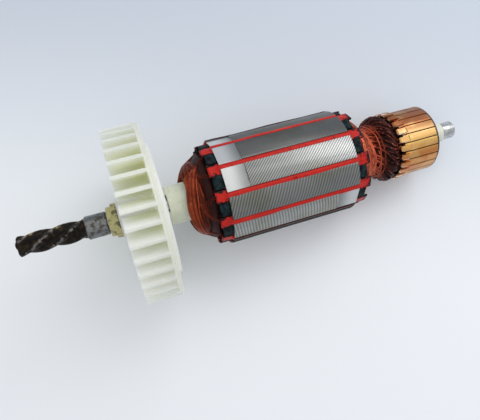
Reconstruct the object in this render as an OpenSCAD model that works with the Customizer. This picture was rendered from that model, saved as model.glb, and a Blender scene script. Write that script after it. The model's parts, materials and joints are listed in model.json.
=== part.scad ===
// Armature of a portable power tool motor: shaft with helical pinion, cooling fan, slotted
// lamination core with its winding, and commutator. It lies as it comes to rest on a bench,
// on the fan's back disc and the core's far edge (or the commutator's, if that comes lower).
// Along the shaft, 0 is the middle of the core, and + is towards the commutator.

/* [Lamination core] */
// Outer diameter of the lamination stack
core_d = 46; // [40:1:50]
// Length of the stack
core_l = 57; // [44:1:60]
// Angle of the first slot about the shaft, from the side towards the top
first_slot_angle = 12.8; // [0:0.2:29.8]
// Depth of the milled balance cuts
balance_cut_depth = 0.7; // [0.2:0.1:1]
// Length of the milled balance cuts
balance_cut_l = 9.8; // [4:0.2:16]

/* [Slots] */
// Width of a slot's mouth between the tooth tips
slot_mouth_w = 2.0; // [1:0.1:3]
// Greatest width of a slot, below the tooth tips
slot_w = 6.2; // [5:0.1:6.6]
// Width of a slot at its bottom
slot_bottom_w = 2.2; // [1.6:0.1:3]
// Radius from the shaft to the bottom of a slot
slot_bottom_r = 13.2; // [12:0.1:14]
// Thickness of the lips at the tooth tips
lip_t = 1.2; // [0.8:0.1:2]
// Thickness of the fibre wedge in a slot's mouth
wedge_t = 1.0; // [0.6:0.1:1.4]
// How far the wedge's rib, which fills the slot's mouth, lies below the core's surface
rib_drop = 0.4; // [0.3:0.1:0.8]
// Thickness of the slot liner's paper
liner_t = 0.35; // [0.2:0.05:0.5]
// Length of wedge that stands out of the core at the fan's end
wedge_out_front = 4.9; // [2:0.1:6]
// Length of wedge that stands out of the core at the commutator's end
wedge_out_rear = 6.2; // [2:0.1:7]
// Thickness of the end insulators
end_insulator_t = 4.0; // [2:0.1:5]
// How far the end insulators' spokes stay below the core's surface
end_insulator_drop = 1.3; // [1:0.1:3]

/* [Winding] */
// Outer diameter of the wires where they leave the slots at the front
front_bed_d = 38; // [34:0.5:41]
// How far these wires stand out beyond the liners
front_bed_l = 3.6; // [2:0.1:5]
// Diameter of the ring that a coil follows as it crosses the front end
coil_ring_d = 28; // [26:0.2:30]
// Thickness of a coil where it crosses the front end
coil_t = 6.4; // [4:0.2:7]
// How far the outermost pair of coils stands out beyond the liners
first_coils_out = 10.8; // [9:0.1:11.4]
// How far the second pair of coils stands out
second_coils_out = 9.4; // [7:0.1:10.8]
// How far the third pair of coils stands out
third_coils_out = 8.0; // [6:0.1:10]
// Slot at which the outermost pair of coils begins
first_coils_slot = 2; // [1:1:12]
// Number of slots from one side of a coil to the other
coil_pitch = 5; // [4:1:5]
// Outer diameter of the rear overhang
rear_overhang_d = 38.5; // [34:0.5:41]
// Diameter of the neck behind the rear overhang
neck_d = 21; // [18:0.5:26]
// Greatest diameter of the lead bundle in front of the hooks
leads_d = 31.6; // [26:0.2:32]

/* [Commutator] */
// Diameter over the bars
comm_d = 30; // [27:0.5:33]
// Length of the bars' running surface
comm_l = 14.2; // [10:0.1:16]
// Distance from the core's end to the bars' running surface
comm_offset = 30.4; // [29:0.1:34]
// Radial height of a bar
bar_h = 4.4; // [3:0.1:5.5]
// Width of the insulation between two bars
bar_gap = 0.5; // [0.4:0.1:0.8]
// Angle of the first gap between bars about the shaft
first_gap_angle = 11.3; // [0:0.1:14.9]
// Length of a hook
hook_l = 4.9; // [4:0.1:5.2]
// Width of a hook
hook_w = 2.2; // [1.6:0.1:2.6]
// Thickness of a hook
hook_t = 1.1; // [0.8:0.1:1.3]
// How far a hook stands above the running surface
hook_rise = 0.6; // [0.2:0.1:0.9]
// Length of a bar in front of the running surface, where the hook rises
riser_l = 2.4; // [2:0.1:3]
// Thickness of the moulding's end behind the bars
hub_end_t = 1.3; // [0.8:0.1:2]
// How far the moulding's end stays below the running surface
hub_end_drop = 0.4; // [0.2:0.1:0.6]
// How far the insulation between the bars lies below the running surface
undercut = 0.8; // [0.7:0.1:1.2]

/* [Shaft] */
// Diameter of the shaft's middle part, under the fan, the core and the commutator
shaft_d = 11; // [10.6:0.1:12]
// Diameter of the drive-end bearing seat
journal_d = 10; // [8:0.5:10.5]
// Length of the drive-end bearing seat
journal_l = 9.4; // [8:0.1:14]
// Diameter of the commutator-end bearing seat
end_journal_d = 8; // [6:0.5:8]
// Length of the commutator-end bearing seat
end_journal_l = 7.3; // [6:0.1:12]
// Chamfer on the shaft's end
end_chamfer = 0.8; // [0.4:0.1:1.5]
// Chamfer between pinion and bearing seat
journal_chamfer = 0.4; // [0.2:0.1:1]
// Outer diameter of the insulation tube on the shaft under the core
tube_d = 14; // [13:0.5:16]
// Outer diameter of the tube's collar between fan and winding
collar_d = 17; // [16:0.5:20]
// Length of the grinding relief at the root of each bearing seat
relief_l = 0.8; // [0.5:0.1:1.2]
// Depth of the grinding relief
relief_t = 0.3; // [0.2:0.05:0.4]
// Diameter of the shaft's seat for the pale sleeve
sleeve_seat_d = 8.4; // [8.2:0.1:9]
// Outer diameter of the pale sleeve behind the commutator
sleeve_d = 9.4; // [9.4:0.1:12]
// Length of the pale sleeve
sleeve_l = 9.7; // [6:0.1:12]

/* [Pinion] */
// Number of pinion teeth
pinion_teeth = 4; // [3:1:6]
// Diameter over the pinion's teeth
pinion_d = 9; // [7.5:0.1:9.4]
// Diameter at the root of the pinion's teeth
pinion_root_d = 6; // [5:0.1:6.6]
// Length of the pinion
pinion_l = 27.6; // [18:0.2:34]
// Length along which a tooth makes one whole turn
pinion_lead = 43; // [34:1:60]
// Angle of the first tooth at the pinion's free end
pinion_phase = 86; // [0:1:89]

/* [Fan] */
// Outer diameter of the fan
fan_d = 75; // [68:1:84]
// Width of the blades along the shaft
blade_w = 13.2; // [8:0.2:16]
// Number of blades
blade_count = 36; // [24:1:42]
// Thickness of a blade
blade_t = 1.5; // [1:0.1:1.6]
// Diameter at the blades' inner ends
blade_inner_d = 46; // [44:1:56]
// Lean of the blades at the rim, away from the radius
blade_lean = 26; // [10:1:34]
// Angle of the first blade about the shaft
first_blade_angle = 9.5; // [0:0.1:10]
// Thickness of the fan's back disc
disc_t = 1.9; // [1.2:0.1:3]
// Outer diameter of the raised ring on the back disc
raised_ring_d = 57; // [40:1:62]
// Inner diameter of the raised ring
raised_ring_inner_d = 46; // [26:1:50]
// Height of the raised ring
raised_ring_h = 1.8; // [1:0.1:3]
// How far the hub stands out in front of the blades
fan_hub_out = 1.9; // [1:0.1:4]
// How far the hub stands out behind the raised ring
fan_hub_back_l = 1.4; // [1:0.1:3]
// Slit between the hub and the collar of the shaft's insulation
collar_slit = 0.6; // [0.3:0.1:0.9]
// Gap along the shaft between the raised ring and the winding
fan_to_winding = 8.8; // [6:0.1:12]
// Thickness of the spacer's small step
spacer_small_t = 2.1; // [1.5:0.1:3]
// Diameter of the spacer's small step
spacer_small_d = 12.6; // [12:0.1:14]
// Thickness of the spacer's large step
spacer_large_t = 2.5; // [1.5:0.1:3]
// Diameter of the spacer's large step
spacer_large_d = 14.8; // [14:0.1:16]

/* [Hidden] */
$fn = 96;
slot_count = 12;
bar_count = 2 * slot_count;
slot_pitch = 360 / slot_count;
bar_pitch = 360 / bar_count;

// Clearance of round seats on the radius, and of flat seats
round_gap = 0.05;
flat_gap = 0.05;
// Overlap that makes one solid of two shapes, and extra length of cutting shapes
weld = 0.5;
cut = 1;

// Lamination core and slots
core_r = core_d / 2;
half_core = core_l / 2;
slot_top_r = core_r - lip_t;
slot_shoulder_h = 0.9;
shoulder_w = slot_w - 0.8;
wedge_top_r = slot_top_r - flat_gap;
wedge_bottom_r = wedge_top_r - wedge_t;
liner_top_r = wedge_bottom_r - flat_gap;
liner_out = end_insulator_t + 0.9;
bundle_gap = 0.1;
coil_half_span = coil_pitch * slot_pitch / 2 + 3;
end_insulator_r = core_r - end_insulator_drop;

// Places along the shaft
wedge_front = -half_core - wedge_out_front;
wedge_rear = half_core + wedge_out_rear;
liner_front = -half_core - liner_out;
liner_rear = half_core + liner_out;
overhang_front = liner_front - max(first_coils_out, second_coils_out, third_coils_out);
disc_back = overhang_front - fan_to_winding - raised_ring_h;
disc_front = disc_back - disc_t;
blade_front = disc_front - blade_w;
fan_hub_front = blade_front - fan_hub_out;
fan_hub_back = disc_back + raised_ring_h + fan_hub_back_l;
collar_front = fan_hub_back + collar_slit;
spacer_front = fan_hub_front - spacer_small_t - spacer_large_t;
pinion_end = spacer_front - journal_l;
shaft_front = pinion_end - pinion_l;
bars_front = half_core + comm_offset;
bars_rear = bars_front + comm_l;
riser_front = bars_front - riser_l;
hub_rear = bars_rear + hub_end_t;
sleeve_rear = hub_rear + sleeve_l;
shaft_rear = sleeve_rear + end_journal_l;
tube_rear = riser_front - 1.2;
lead_bundle_rear = riser_front - 0.6;

// Commutator
comm_r = comm_d / 2;
bar_inner_r = comm_r - bar_h;
bar_angle = bar_pitch - bar_gap / comm_r * 180 / PI;
hook_top_r = comm_r + hook_rise;
hook_bottom_r = hook_top_r - hook_t;
hook_front = bars_front - hook_l;

// Fan
fan_r = fan_d / 2;
blade_pitch = 360 / blade_count;

// Rest on a flat bench: the tilt that brings the fan's disc and the next lowest edge down
wedge_edge_r = norm([wedge_top_r, shoulder_w / 2]);
edges_below = [[half_core, core_r], [bars_rear, comm_r], [wedge_rear, wedge_edge_r]];
rest_tilt = min([for (edge = edges_below) atan((fan_r - edge[1]) / (edge[0] - disc_back))]);
lift = fan_r * cos(rest_tilt) + disc_back * sin(rest_tilt);
pinion_nose_l = 1.0;
pinion_nose_drop = 0.6;
front_r = pinion_d / 2 - pinion_nose_drop;
rear_r = end_journal_d / 2 - end_chamfer;
low_x = shaft_front * cos(rest_tilt) - front_r * sin(rest_tilt);
high_x = shaft_rear * cos(rest_tilt) + rear_r * sin(rest_tilt);
shift = -(low_x + high_x) / 2;

// Turns a shape made along +Z so that it lies along the shaft in its rest on the bench
module at_rest() {
    translate([shift, 0, lift])
        rotate([0, rest_tilt, 0])
            rotate([90, 0, 90])
                children();
}

module tube(outer_r, inner_r, from, to) {
    translate([0, 0, from])
        difference() {
            cylinder(r = outer_r, h = to - from);
            translate([0, 0, -cut])
                cylinder(r = inner_r, h = to - from + 2 * cut);
        }
}

module prism(from, to) {
    translate([0, 0, from])
        linear_extrude(height = to - from)
            children();
}

module each_slot() {
    for (i = [0:slot_count - 1])
        rotate(first_slot_angle + i * slot_pitch)
            children();
}

// Section of a slot below its lips, made smaller all round by inset, along the X axis
module slot_section(inset) {
    bottom_half = slot_bottom_w / 2 - inset;
    shoulder_r = slot_top_r - slot_shoulder_h;
    circle_r = slot_bottom_r + slot_bottom_w / 2;
    polygon([
        [circle_r, -bottom_half],
        [shoulder_r, inset - slot_w / 2],
        [slot_top_r - inset, inset - shoulder_w / 2],
        [slot_top_r - inset, shoulder_w / 2 - inset],
        [shoulder_r, slot_w / 2 - inset],
        [circle_r, bottom_half]
    ]);
    translate([circle_r, 0])
        circle(r = bottom_half, $fn = 32);
}

module below_wedge(inset, top_r) {
    intersection() {
        slot_section(inset);
        translate([0, -slot_w])
            square([top_r, 2 * slot_w]);
    }
}

/* Core */
module stack_section() {
    difference() {
        circle(r = core_r);
        circle(r = tube_d / 2 + round_gap);
        each_slot() {
            slot_section(0);
            translate([slot_top_r - cut, -slot_mouth_w / 2])
                square([lip_t + 2 * cut, slot_mouth_w]);
        }
    }
}

// Flat milled across one tooth, from an end of the stack inwards
module balance_cut(tooth, from) {
    rotate(first_slot_angle + (tooth + 0.5) * slot_pitch)
        translate([core_r - balance_cut_depth, -core_r / 2, from])
            cube([core_r, core_r, balance_cut_l + cut]);
}

module lamination_core() {
    color("slategray")
        at_rest()
            difference() {
                prism(-half_core, half_core) stack_section();
                for (tooth = [0:2])
                    balance_cut(tooth, -half_core - cut);
                balance_cut(4, half_core - balance_cut_l);
            }
}

/* Insulation */
module end_insulator(from) {
    color("darkslategray")
        at_rest()
            prism(from, from + end_insulator_t)
                difference() {
                    circle(r = end_insulator_r);
                    circle(r = collar_d / 2 + round_gap);
                    each_slot() {
                        slot_section(-flat_gap);
                        translate([slot_top_r - cut, -shoulder_w / 2 - flat_gap])
                            square([core_r, shoulder_w + 2 * flat_gap]);
                    }
                }
}

module front_insulator() {
    end_insulator(-half_core - end_insulator_t);
}

module rear_insulator() {
    end_insulator(half_core);
}

module slot_liner(i) {
    color("firebrick")
        at_rest()
            rotate(first_slot_angle + (i - 1) * slot_pitch)
                prism(liner_front, liner_rear)
                    difference() {
                        below_wedge(flat_gap, liner_top_r);
                        below_wedge(flat_gap + liner_t, core_r);
                    }
}

module slot_wedge(i) {
    color("red")
        at_rest()
            rotate(first_slot_angle + (i - 1) * slot_pitch)
                union() {
                    prism(wedge_front, wedge_rear)
                        intersection() {
                            slot_section(flat_gap);
                            translate([wedge_bottom_r, -slot_w])
                                square([wedge_t, 2 * slot_w]);
                        }
                    prism(-half_core, half_core)
                        translate([wedge_top_r - weld, flat_gap - slot_mouth_w / 2])
                            square([core_r - rib_drop - wedge_top_r + weld, slot_mouth_w - 2 * flat_gap]);
                }
}

module shaft_insulation() {
    color("ivory")
        at_rest()
            union() {
                tube(collar_d / 2, shaft_d / 2 + round_gap, collar_front, -half_core - flat_gap);
                tube(tube_d / 2, shaft_d / 2 + round_gap, -half_core - weld, tube_rear);
            }
}

module end_sleeve() {
    color("whitesmoke")
        at_rest()
            tube(sleeve_d / 2, sleeve_seat_d / 2 + round_gap, hub_rear, sleeve_rear);
}

/* Winding */
// One coil as it crosses the front end: an arc of a ring that tips towards the fan
module front_coil(out) {
    ring_r = coil_ring_d / 2;
    tip = asin((out - coil_t / 2) / ring_r);
    rotate([0, tip, 0])
        rotate(-coil_half_span)
            rotate_extrude(angle = 2 * coil_half_span)
                translate([ring_r, 0])
                    circle(d = coil_t);
}

module front_overhang() {
    bed_r = front_bed_d / 2;
    reach = liner_front - overhang_front;
    translate([0, 0, liner_front])
        difference() {
            union() {
                rotate_extrude()
                    polygon([
                        [0, 0],
                        [bed_r - 0.4, 0],
                        [bed_r, -0.3 * front_bed_l],
                        [bed_r - 1.6, -0.8 * front_bed_l],
                        [bed_r - 3.4, -front_bed_l],
                        [0, -front_bed_l]
                    ]);
                for (side = [0, 180])
                    rotate(first_slot_angle + (first_coils_slot - 1 + coil_pitch / 2) * slot_pitch + side) {
                        front_coil(first_coils_out);
                        rotate(-2 * slot_pitch)
                            front_coil(second_coils_out);
                        rotate(2 * slot_pitch)
                            front_coil(third_coils_out);
                    }
            }
            cylinder(r = coil_ring_d, h = reach);
            translate([0, 0, -reach - cut])
                cylinder(r = collar_d / 2 + bundle_gap, h = reach + 2 * cut);
        }
}

module rear_overhang() {
    outer = rear_overhang_d / 2;
    inner = tube_d / 2 + bundle_gap;
    neck = neck_d / 2;
    leads = leads_d / 2;
    rotate_extrude()
        polygon([
            [inner, liner_rear],
            [outer, liner_rear],
            [outer - 0.6, liner_rear + 2],
            [outer - 3, liner_rear + 4.4],
            [neck + 2.2, liner_rear + 7.4],
            [neck, liner_rear + 10.4],
            [neck + 1.4, lead_bundle_rear - 10.0],
            [leads - 0.7, lead_bundle_rear - 7.4],
            [leads, lead_bundle_rear - 5.2],
            [leads - 0.7, lead_bundle_rear - 3.2],
            [hook_bottom_r - bundle_gap, lead_bundle_rear - 2.4],
            [hook_bottom_r - bundle_gap - 1, lead_bundle_rear],
            [inner, lead_bundle_rear]
        ]);
}

module winding() {
    color("brown")
        at_rest()
            union() {
                front_overhang();
                each_slot()
                    prism(liner_front - weld, liner_rear + weld)
                        below_wedge(flat_gap + liner_t + bundle_gap, liner_top_r);
                rear_overhang();
            }
}

/* Commutator */
module bar_profile() {
    polygon([
        [bar_inner_r, riser_front],
        [hook_bottom_r, riser_front],
        [hook_bottom_r, riser_front + cut],
        [comm_r, bars_front],
        [comm_r, bars_rear],
        [bar_inner_r, bars_rear]
    ]);
}

module hook_profile() {
    tip = 0.5;
    polygon([
        [hook_bottom_r - weld, riser_front],
        [hook_bottom_r, hook_front + tip],
        [hook_bottom_r + tip, hook_front],
        [hook_top_r - tip, hook_front],
        [hook_top_r, hook_front + tip],
        [hook_top_r, bars_front - tip],
        [comm_r, bars_front + tip],
        [comm_r - weld, bars_front + tip]
    ]);
}

module commutator_bar(i) {
    middle = first_gap_angle + (i - 0.5) * bar_pitch;
    color("goldenrod")
        at_rest()
            rotate(middle)
                union() {
                    rotate(-bar_angle / 2)
                        rotate_extrude(angle = bar_angle)
                            bar_profile();
                    translate([0, hook_w / 2, 0])
                        rotate([90, 0, 0])
                            linear_extrude(height = hook_w)
                                hook_profile();
                }
}

module commutator_hub() {
    hub_r = bar_inner_r - round_gap;
    fin_angle = bar_pitch - bar_angle - 2 * flat_gap / bar_inner_r * 180 / PI;
    color("saddlebrown")
        at_rest()
            difference() {
                union() {
                    translate([0, 0, riser_front])
                        cylinder(r = hub_r, h = hub_rear - riser_front);
                    translate([0, 0, bars_rear + flat_gap])
                        cylinder(r1 = comm_r - hub_end_drop, r2 = comm_r - 3 * hub_end_drop, h = hub_end_t - flat_gap);
                    for (i = [0:bar_count - 1])
                        rotate(first_gap_angle + i * bar_pitch - fin_angle / 2)
                            translate([0, 0, bars_front])
                                rotate_extrude(angle = fin_angle)
                                    translate([hub_r - weld, 0])
                                        square([comm_r - undercut - hub_r + weld, comm_l + weld]);
                }
                translate([0, 0, riser_front - cut])
                    cylinder(r = shaft_d / 2 + round_gap, h = hub_rear - riser_front + 2 * cut);
            }
}

/* Shaft */
// Radius of the pinion's outline, with rounded teeth, at an angle from a tooth's crest
function tooth_r(angle, depth) =
    pinion_d / 2 - depth * (1 - pow(0.5 + 0.5 * cos(pinion_teeth * angle), 0.8));

function nose_drop(z) = max(0, 1 - z / pinion_nose_l) * pinion_nose_drop;

module helical_pinion() {
    ring_steps = 32;
    z_steps = 44;
    depth = (pinion_d - pinion_root_d) / 2;
    length = pinion_l + weld;
    points = [
        for (j = [0:z_steps], k = [0:ring_steps - 1])
            let (
                z = length * j / z_steps,
                angle = 360 * k / ring_steps,
                turn = pinion_phase - 360 * z / pinion_lead,
                r = tooth_r(angle, depth) - nose_drop(z)
            )
            [r * cos(angle + turn), r * sin(angle + turn), z]
    ];
    sides = [
        for (j = [0:z_steps - 1], k = [0:ring_steps - 1])
            let (
                next = (k + 1) % ring_steps,
                low = j * ring_steps,
                high = low + ring_steps
            )
            [low + k, high + k, high + next, low + next]
    ];
    end_cap = [for (k = [0:ring_steps - 1]) z_steps * ring_steps + ring_steps - 1 - k];
    polyhedron(points = points, faces = concat([[for (k = [0:ring_steps - 1]) k]], sides, [end_cap]));
}

module shaft() {
    journal_r = journal_d / 2;
    shaft_r = shaft_d / 2;
    seat_r = sleeve_seat_d / 2;
    end_r = end_journal_d / 2;
    color("gray")
        at_rest()
            union() {
                translate([0, 0, shaft_front])
                    helical_pinion();
                rotate_extrude()
                    polygon([
                        [0, pinion_end],
                        [journal_r - journal_chamfer, pinion_end],
                        [journal_r, pinion_end + journal_chamfer],
                        [journal_r, spacer_front - relief_l],
                        [journal_r - relief_t, spacer_front - relief_l + relief_t],
                        [journal_r - relief_t, spacer_front],
                        [shaft_r, spacer_front],
                        [shaft_r, hub_rear - flat_gap],
                        [seat_r, hub_rear - flat_gap],
                        [seat_r, sleeve_rear],
                        [end_r - relief_t, sleeve_rear],
                        [end_r - relief_t, sleeve_rear + relief_l - relief_t],
                        [end_r, sleeve_rear + relief_l],
                        [end_r, shaft_rear - end_chamfer],
                        [end_r - end_chamfer, shaft_rear],
                        [0, shaft_rear]
                    ]);
            }
}

module bearing_spacer() {
    bore_r = shaft_d / 2 + round_gap;
    step = spacer_front + spacer_small_t;
    color("darkkhaki")
        at_rest()
            union() {
                tube(spacer_small_d / 2, bore_r, spacer_front, step + weld);
                tube(spacer_large_d / 2, bore_r, step, fan_hub_front - flat_gap);
            }
}

/* Fan */
// A blade leans more towards the rim: straight inner half, leaning outer half
module blade_section() {
    inner_r = blade_inner_d / 2;
    middle_r = (inner_r + fan_r) / 2;
    reach = (fan_r - middle_r + cut) / cos(blade_lean);
    translate([inner_r, -blade_t / 2])
        square([middle_r - inner_r, blade_t]);
    translate([middle_r, 0])
        rotate(blade_lean) {
            translate([0, -blade_t / 2])
                square([reach, blade_t]);
            circle(r = blade_t / 2, $fn = 24);
        }
}

module cooling_fan() {
    hub_r = collar_d / 2;
    color("honeydew")
        at_rest()
            difference() {
                union() {
                    translate([0, 0, disc_front])
                        cylinder(r = fan_r, h = disc_t);
                    tube(raised_ring_d / 2, raised_ring_inner_d / 2, disc_back - weld, disc_back + raised_ring_h);
                    translate([0, 0, fan_hub_front])
                        cylinder(r = hub_r, h = fan_hub_back - fan_hub_front);
                    intersection() {
                        prism(blade_front, disc_front + weld)
                            for (i = [0:blade_count - 1])
                                rotate(first_blade_angle + i * blade_pitch)
                                    blade_section();
                        translate([0, 0, blade_front - cut])
                            cylinder(r = fan_r, h = blade_w + 3 * cut);
                    }
                }
                translate([0, 0, fan_hub_front - cut])
                    cylinder(r = shaft_d / 2 + round_gap, h = fan_hub_back - fan_hub_front + 2 * cut);
            }
}

shaft();
bearing_spacer();
cooling_fan();
shaft_insulation();
lamination_core();
front_insulator();
rear_insulator();
winding();
commutator_hub();
end_sleeve();
for (i = [1:slot_count]) {
    slot_liner(i);
    slot_wedge(i);
}
for (i = [1:bar_count]) {
    commutator_bar(i);
}
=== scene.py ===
"""Motor armature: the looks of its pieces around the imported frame."""

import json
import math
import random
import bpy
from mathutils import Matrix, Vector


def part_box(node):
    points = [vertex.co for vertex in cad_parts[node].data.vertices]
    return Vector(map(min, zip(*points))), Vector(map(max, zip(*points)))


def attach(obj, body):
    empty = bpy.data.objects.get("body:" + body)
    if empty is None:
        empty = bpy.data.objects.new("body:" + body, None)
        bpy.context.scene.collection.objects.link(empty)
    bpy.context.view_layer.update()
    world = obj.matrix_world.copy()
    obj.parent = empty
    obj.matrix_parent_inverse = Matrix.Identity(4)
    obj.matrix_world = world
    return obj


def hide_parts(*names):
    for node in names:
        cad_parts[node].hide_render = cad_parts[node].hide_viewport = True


bl_info = {
    "name": "Motor Armature",
    "version": (1, 0, 0),
    "blender": (4, 5, 0),
    "location": "View3D > Sidebar > Armature",
    "description": "Builds the finish, windings and stage of a motor armature",
    "category": "Object",
}

import bpy
from mathutils import Matrix, Vector

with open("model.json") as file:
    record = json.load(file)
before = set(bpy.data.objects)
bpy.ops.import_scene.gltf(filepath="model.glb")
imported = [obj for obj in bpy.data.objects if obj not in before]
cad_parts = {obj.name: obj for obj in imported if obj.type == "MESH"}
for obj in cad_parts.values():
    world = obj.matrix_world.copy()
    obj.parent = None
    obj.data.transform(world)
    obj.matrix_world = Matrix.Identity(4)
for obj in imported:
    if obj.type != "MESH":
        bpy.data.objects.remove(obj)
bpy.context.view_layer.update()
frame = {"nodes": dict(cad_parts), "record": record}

MM = 0.001
SLOTS = 12
BARS = 24
# Sides of the round beds that the wires lie on
BED_SIDES = 96


# ---- the shaft's own frame

def shaft_frame():
    """Matrix from shaft coordinates (along, side, up), in metres, to the row's frame.

    They start at the middle of the core's box. The shaft lies tilted, and the flats milled on the core
    lower the top of that box, so they start a quarter of a millimetre below the bearing seats' axis.
    """
    seats = {mount["name"]: Vector(mount["pos_m"]) for mount in frame["record"]["mounts"]}
    along = (seats["end_bearing_seat"] - seats["drive_bearing_seat"]).normalized()
    side = Vector((0, 1, 0))
    up = along.cross(side)
    low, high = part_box("lamination_core")
    middle = (Vector(low) + Vector(high)) / 2
    axes = Matrix((along, side, up)).transposed().to_4x4()
    return Matrix.Translation(middle) @ axes


TO_ROW = shaft_frame()
TO_SHAFT = TO_ROW.inverted()


def span(node):
    """Lowest and highest place of a CAD node along the shaft, and its greatest radius, in mm."""
    points = [TO_SHAFT @ v.co / MM for v in frame["nodes"][node].data.vertices]
    along = [p.x for p in points]
    return min(along), max(along), max(math.hypot(p.y, p.z) for p in points)


def shaft_angle(node):
    """Angle of a CAD node's middle about the shaft, in degrees."""
    points = [TO_SHAFT @ v.co for v in frame["nodes"][node].data.vertices]
    return math.degrees(math.atan2(sum(p.z for p in points), sum(p.y for p in points)))


def seat(mount):
    """Middle of a bearing seat along the shaft, its radius and half its length, in mm."""
    claim = next(m for m in frame["record"]["mounts"] if m["name"] == mount)
    along = (TO_SHAFT @ Vector(claim["pos_m"])).x / MM
    return along, claim["dims"]["r_mm"], claim["dims"]["length_mm"] / 2


def polar(along, radius, angle):
    """A point in shaft coordinates, in mm. Angle 0 is to the side, and 90 degrees is up."""
    a = math.radians(angle)
    return Vector((along, radius * math.cos(a), radius * math.sin(a)))


# Places along the shaft and radii of the solids, in millimetres from the middle of the core's box
SHAFT_FRONT, SHAFT_REAR, _ = span("shaft")
FAN_FRONT, FAN_REAR, FAN_R = span("cooling_fan")
CORE_FRONT, CORE_REAR, CORE_R = span("lamination_core")
LINER_FRONT, LINER_REAR, _ = span("slot_liner_1")
WEDGE_FRONT, WEDGE_REAR, WEDGE_R = span("slot_wedge_1")
_, BAR_REAR, HOOK_TOP_R = span("commutator_bar_1")
SEAT_MIDDLE, SEAT_R, SEAT_HALF = seat("drive_bearing_seat")
END_SEAT_MIDDLE, END_SEAT_R, END_SEAT_HALF = seat("end_bearing_seat")
FIRST_SLOT_ANGLE = shaft_angle("slot_wedge_1")
SLOT_PITCH = 360 / SLOTS
FIRST_BAR_ANGLE = shaft_angle("commutator_bar_1")
BAR_PITCH = 360 / BARS
# Length of the flats milled on the core's ends, and number of its tool lines to a millimetre
FLAT_LENGTH = 9.8
TOOL_LINES = 0.76
# Radius of the bars' track, at which the painted light across them ends and their rings are laid
TRACK_R = 15.0


# ---- settings

class StageSettings(bpy.types.PropertyGroup):
    """Floor, camera and lamps"""
    floor_shade: bpy.props.FloatVectorProperty(
        name="Floor, far side", description="Colour of the table top away from the window",
        subtype="COLOR", size=3, default=(0.52, 0.575, 0.66), min=0, max=1)
    floor_light: bpy.props.FloatVectorProperty(
        name="Floor, near side", description="Colour of the table top towards the window",
        subtype="COLOR", size=3, default=(0.84, 0.87, 0.91), min=0, max=1)
    camera_place: bpy.props.FloatVectorProperty(
        name="Camera place", description="Where the camera stands",
        subtype="TRANSLATION", unit="LENGTH", size=3, default=(-0.01603, -0.02758, 0.23936))
    camera_turn: bpy.props.FloatVectorProperty(
        name="Camera turn", description="Euler angles of the camera",
        subtype="EULER", unit="ROTATION", size=3,
        default=(math.radians(5.08), math.radians(-0.2), math.radians(-16.75)))
    lens: bpy.props.FloatProperty(
        name="Lens", description="Focal length for a 36 mm sensor", default=35.55, min=10, max=200)
    window_power: bpy.props.FloatProperty(
        name="Window", description="Power of the large soft lamp", unit="POWER", default=2.6, min=0)
    fill_power: bpy.props.FloatProperty(
        name="Fill", description="Power of the low lamp past the commutator",
        unit="POWER", default=0.9, min=0)
    room_strength: bpy.props.FloatProperty(
        name="Room", description="Strength of the light from all around", default=0.92, min=0, max=2)


class FinishSettings(bpy.types.PropertyGroup):
    """Colours of the armature's materials"""
    steel: bpy.props.FloatVectorProperty(
        name="Core steel", description="Turned lamination steel",
        subtype="COLOR", size=3, default=(0.55, 0.56, 0.54), min=0, max=1)
    nylon: bpy.props.FloatVectorProperty(
        name="Nylon", description="Natural nylon of the fan",
        subtype="COLOR", size=3, default=(0.86, 0.89, 0.74), min=0, max=1)
    fibre: bpy.props.FloatVectorProperty(
        name="Red fibre", description="Slot wedges and liners",
        subtype="COLOR", size=3, default=(0.50, 0.016, 0.012), min=0, max=1)
    enamel: bpy.props.FloatVectorProperty(
        name="Wire enamel", description="Varnished enamel of the winding",
        subtype="COLOR", size=3, default=(0.36, 0.060, 0.022), min=0, max=1)
    copper: bpy.props.FloatVectorProperty(
        name="Copper", description="Run-in copper of the commutator",
        subtype="COLOR", size=3, default=(0.90, 0.50, 0.18), min=0, max=1)


class WireSettings(bpy.types.PropertyGroup):
    """Sizes of the winding, in metres"""
    wire_d: bpy.props.FloatProperty(
        name="Wire", description="Diameter of the enamelled wire",
        unit="LENGTH", default=0.00066, min=0.0003, max=0.001)
    coil_ring_d: bpy.props.FloatProperty(
        name="Coil ring", description="Diameter of the ring a coil follows across the front end",
        unit="LENGTH", default=0.0280, min=0.026, max=0.030)
    coil_t: bpy.props.FloatProperty(
        name="Coil thickness", description="Thickness of a coil across the front end",
        unit="LENGTH", default=0.0064, min=0.004, max=0.007)
    coils_out: bpy.props.FloatVectorProperty(
        name="Coils out", description="How far the three pairs of coils stand out past the liners",
        unit="LENGTH", size=3, default=(0.0108, 0.0094, 0.0080))
    first_slot: bpy.props.IntProperty(
        name="First slot", description="Slot at which the outermost pair of coils begins",
        default=2, min=1, max=12)
    coil_pitch: bpy.props.IntProperty(
        name="Coil pitch", description="Number of slots from one side of a coil to the other",
        default=5, min=4, max=5)


# ---- mesh helpers

def add_object(name, data):
    """Puts a new object in the scene."""
    thing = bpy.data.objects.new(name, data)
    bpy.context.scene.collection.objects.link(thing)
    return thing


def add_piece(name, points, faces, material, replaced=(), tints=None):
    """Makes a piece from points in shaft millimetres, on the one rigid body."""
    mesh = bpy.data.meshes.new(name)
    mesh.from_pydata([TO_ROW @ (p * MM) for p in points], [], faces)
    mesh.validate()
    mesh.shade_smooth()
    if tints:
        attribute = mesh.attributes.new("tint", "FLOAT", "POINT")
        attribute.data.foreach_set("value", tints)
    mesh.materials.append(material)
    piece = add_object(name, mesh)
    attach(piece, "root")
    if replaced:
        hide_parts(*replaced)
    return piece


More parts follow.
